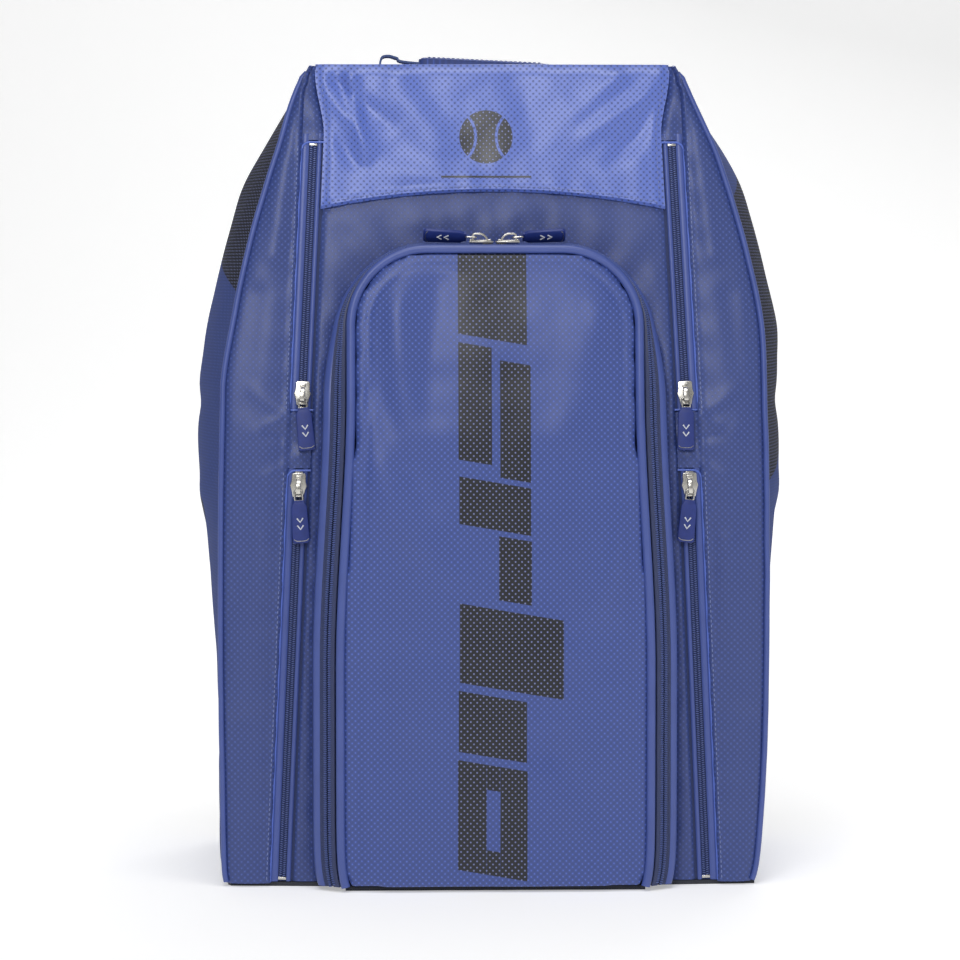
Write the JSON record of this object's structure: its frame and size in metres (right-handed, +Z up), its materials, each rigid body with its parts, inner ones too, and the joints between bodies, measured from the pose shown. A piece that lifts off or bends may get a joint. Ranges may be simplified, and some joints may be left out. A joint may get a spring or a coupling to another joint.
{
  "type": "racket tournament bag",
  "caption": "Upright padded racket bag with a front flap on a U-shaped zip, side racket compartments with zips, a top carry handle and shoulder straps.",
  "frame": {"origin": "middle of the base, on the surface the bag stands on", "axes": "+Z up along the bag's height, the front with its flap faces -Y, +X to the viewer's right"},
  "size_m": [0.431, 0.3374, 0.6098],
  "materials": {
    "shell": "satin",
    "padded": "satin",
    "trim": "satin",
    "tape": "matte",
    "metal": "polished",
    "pull": "satin",
    "webbing": "matte",
    "lining": "matte",
    "mesh": "matte",
    "plastic": "satin"
  },
  "bodies": {
    "bag": {"back_pad_left": "mesh", "back_pad_right": "mesh", "back_panel": "lining", "back_piping_left": "trim", "back_piping_right": "trim", "base_board": "plastic", "base_panel": "lining", "centre_front_panel": "shell", "front_piping_left": "trim", "front_piping_right": "trim", "handle_patch_left": "trim", "handle_patch_right": "trim", "handle_webbing": "webbing", "left_divider": "lining", "left_front_panel": "shell", "left_side_panel": "shell", "lower_zip_left": "tape", "lower_zip_right": "tape", "pocket_gusset": "shell", "pocket_zip_bag_tape": "tape", "right_divider": "lining", "right_front_panel": "shell", "right_side_panel": "shell", "strap_anchor_left": "webbing", "strap_anchor_right": "webbing", "strap_patch": "mesh", "strap_webbing_left": "webbing", "strap_webbing_right": "webbing", "top_panel": "shell", "upper_zip_left": "tape", "upper_zip_right": "tape", "yoke_panel": "shell"},
    "flap": {"flap_panel": "padded", "flap_piping": "trim", "pocket_zip_flap_tape": "tape"},
    "handle": {"handle_grip": "padded"},
    "upper_left_slider": {"upper_left_slider": "metal"},
    "upper_left_pull": {"upper_left_pull_link": "metal", "upper_left_pull_tab": "pull"},
    "lower_left_slider": {"lower_left_slider": "metal"},
    "lower_left_pull": {"lower_left_pull_link": "metal", "lower_left_pull_tab": "pull"},
    "upper_right_slider": {"upper_right_slider": "metal"},
    "upper_right_pull": {"upper_right_pull_link": "metal", "upper_right_pull_tab": "pull"},
    "lower_right_slider": {"lower_right_slider": "metal"},
    "lower_right_pull": {"lower_right_pull_link": "metal", "lower_right_pull_tab": "pull"},
    "pocket_left_slider": {"pocket_left_slider": "metal"},
    "pocket_left_pull": {"pocket_left_pull_link": "metal", "pocket_left_pull_tab": "pull"},
    "pocket_right_slider": {"pocket_right_slider": "metal"},
    "pocket_right_pull": {"pocket_right_pull_link": "metal", "pocket_right_pull_tab": "pull"},
    "shoulder_strap_left": {"shoulder_strap_left": "mesh"},
    "ladder_lock_left": {"ladder_lock_left": "plastic"},
    "shoulder_strap_right": {"shoulder_strap_right": "mesh"},
    "ladder_lock_right": {"ladder_lock_right": "plastic"}
  },
  "joints": [
    {"name": "flap_hinge", "type": "hinge", "parent": "bag", "child": "flap", "pos_m": [0, -0.17, 0.007], "axis": [1, 0, 0], "range_deg": [0, 88]},
    {"name": "handle_lift", "type": "slide", "parent": "bag", "child": "handle", "axis": [0, 0, 1], "range_m": [0, 0.025], "deforming": ["handle_webbing"]},
    {"name": "upper_left_zip", "type": "slide", "parent": "bag", "child": "upper_left_slider", "axis": [0.0433, 0.1688, 0.9847], "range_m": [0, 0.168]},
    {"name": "upper_left_pull_hinge", "type": "hinge", "parent": "upper_left_slider", "child": "upper_left_pull", "pos_m": [-0.13935, -0.12871, 0.35565], "axis": [-0.9953, -0.0235, -0.0935], "range_deg": [0, 140]},
    {"name": "lower_left_zip", "type": "slide", "parent": "bag", "child": "lower_left_slider", "axis": [-0.044, -0.0031, -0.999], "range_m": [0, 0.245]},
    {"name": "lower_left_pull_hinge", "type": "hinge", "parent": "lower_left_slider", "child": "lower_left_pull", "pos_m": [-0.1423, -0.13404, 0.28862], "axis": [-0.9982, -0.0003, -0.0607], "range_deg": [0, 140]},
    {"name": "upper_right_zip", "type": "slide", "parent": "bag", "child": "upper_right_slider", "axis": [-0.0433, 0.1688, 0.9847], "range_m": [0, 0.168]},
    {"name": "upper_right_pull_hinge", "type": "hinge", "parent": "upper_right_slider", "child": "upper_right_pull", "pos_m": [0.13935, -0.12871, 0.35565], "axis": [-0.9999, 0.0088, 0.0076], "range_deg": [0, 140]},
    {"name": "lower_right_zip", "type": "slide", "parent": "bag", "child": "lower_right_slider", "axis": [0.044, -0.0031, -0.999], "range_m": [0, 0.245]},
    {"name": "lower_right_pull_hinge", "type": "hinge", "parent": "lower_right_slider", "child": "lower_right_pull", "pos_m": [0.1423, -0.13404, 0.28862], "axis": [-0.9954, 0.0004, 0.0955], "range_deg": [0, 140]},
    {"name": "pocket_left_zip", "type": "slide", "parent": "bag", "child": "pocket_left_slider", "axis": [-1, 0, 0], "range_m": [0, 0.036]},
    {"name": "pocket_left_pull_hinge", "type": "hinge", "parent": "pocket_left_slider", "child": "pocket_left_pull", "pos_m": [-0.0134, -0.12743, 0.4719], "axis": [0, 1, 0], "range_deg": [0, 140]},
    {"name": "pocket_right_zip", "type": "slide", "parent": "bag", "child": "pocket_right_slider", "axis": [1, 0, 0], "range_m": [0, 0.036]},
    {"name": "pocket_right_pull_hinge", "type": "hinge", "parent": "pocket_right_slider", "child": "pocket_right_pull", "pos_m": [0.0134, -0.12743, 0.4719], "axis": [0, -1, 0], "range_deg": [0, 140]},
    {"name": "shoulder_strap_swing_left", "type": "hinge", "parent": "bag", "child": "shoulder_strap_left", "pos_m": [-0.048, 0.146, 0.558], "axis": [1, 0, 0], "range_deg": [0, 12], "deforming": ["strap_webbing_left"]},
    {"name": "ladder_lock_tilt_left", "type": "hinge", "parent": "shoulder_strap_left", "child": "ladder_lock_left", "pos_m": [-0.088, 0.146, 0.2028], "axis": [1, 0, 0], "range_deg": [0, 40]},
    {"name": "shoulder_strap_swing_right", "type": "hinge", "parent": "bag", "child": "shoulder_strap_right", "pos_m": [0.048, 0.146, 0.558], "axis": [1, 0, 0], "range_deg": [0, 12], "deforming": ["strap_webbing_right"]},
    {"name": "ladder_lock_tilt_right", "type": "hinge", "parent": "shoulder_strap_right", "child": "ladder_lock_right", "pos_m": [0.088, 0.146, 0.2028], "axis": [1, 0, 0], "range_deg": [0, 40]}
  ]
}
